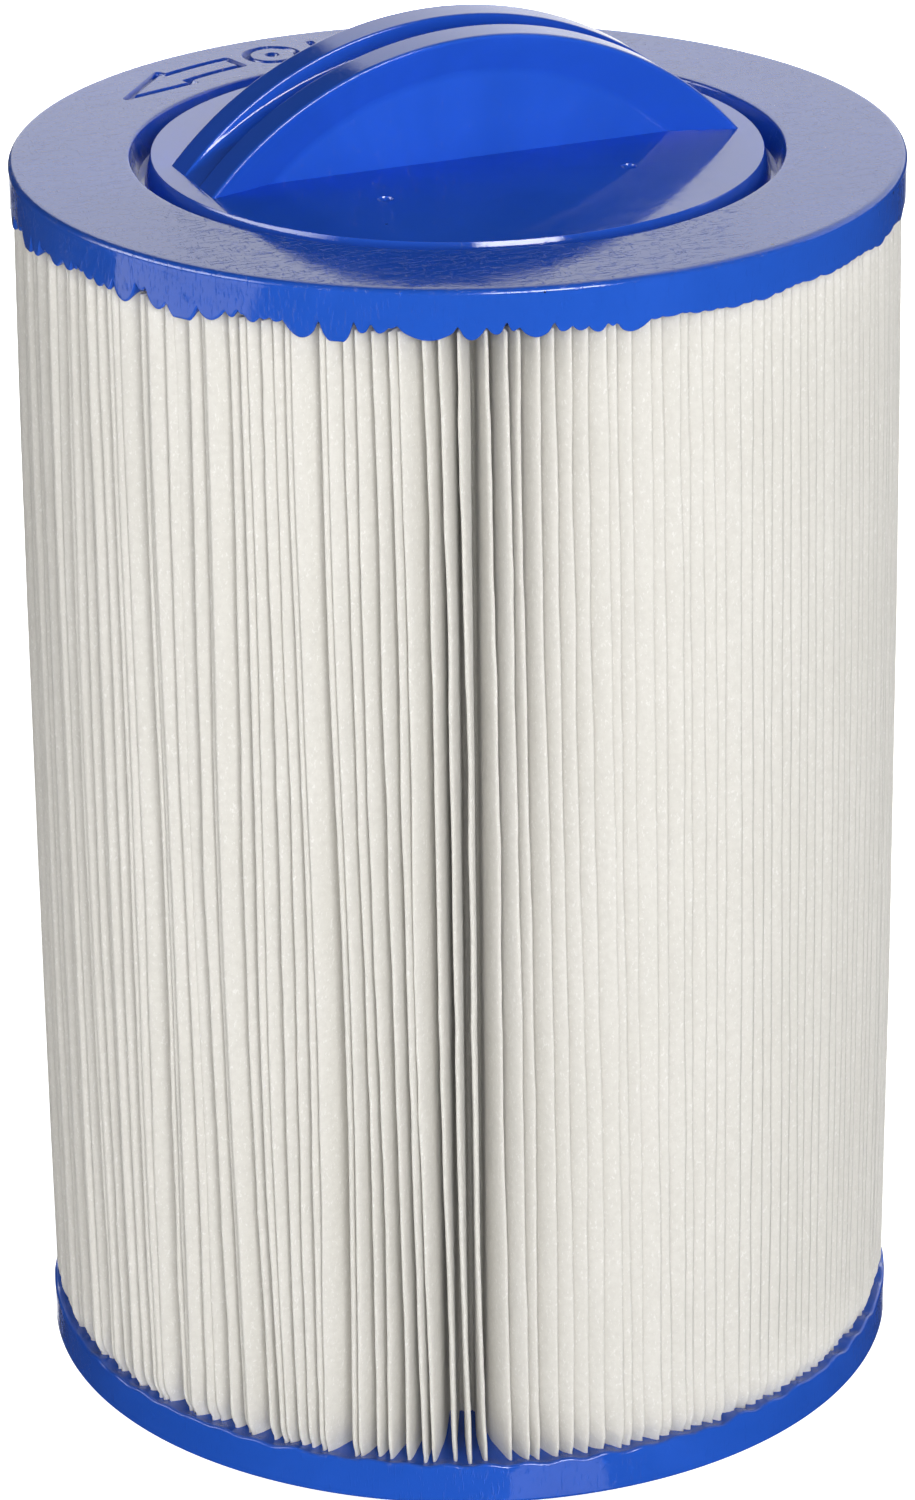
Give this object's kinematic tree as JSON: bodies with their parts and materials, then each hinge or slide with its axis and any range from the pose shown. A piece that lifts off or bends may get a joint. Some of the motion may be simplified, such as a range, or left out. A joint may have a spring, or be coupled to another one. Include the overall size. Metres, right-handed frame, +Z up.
{
  "type": "spa filter cartridge",
  "caption": "Round pleated spa filter cartridge with a twin-rib turning grip on its closed end and a male pipe-thread outlet at its foot.",
  "frame": {"origin": "centre of the bottom cap's seating face, on the cartridge's axis", "axes": "+Z up along the cartridge's axis towards the grip, X along the grip, the thread points down -Z"},
  "size_m": [0.1524, 0.1524, 0.2659],
  "materials": {
    "cast_cap": "glossy cast polyurethane with fine pinholes",
    "grip": "glossy cast polyurethane",
    "media": "spunbonded polyester, point bonded",
    "seam": "hot-melt bond line",
    "core": "moulded, satin",
    "adapter": "moulded, satin"
  },
  "bodies": {
    "root": {"top_cap": "cast_cap", "grip_handle": "grip", "pleated_media": "media", "media_seam": "seam", "center_core": "core", "bottom_cap": "cast_cap", "threaded_adapter": "adapter"}
  },
  "joints": []
}
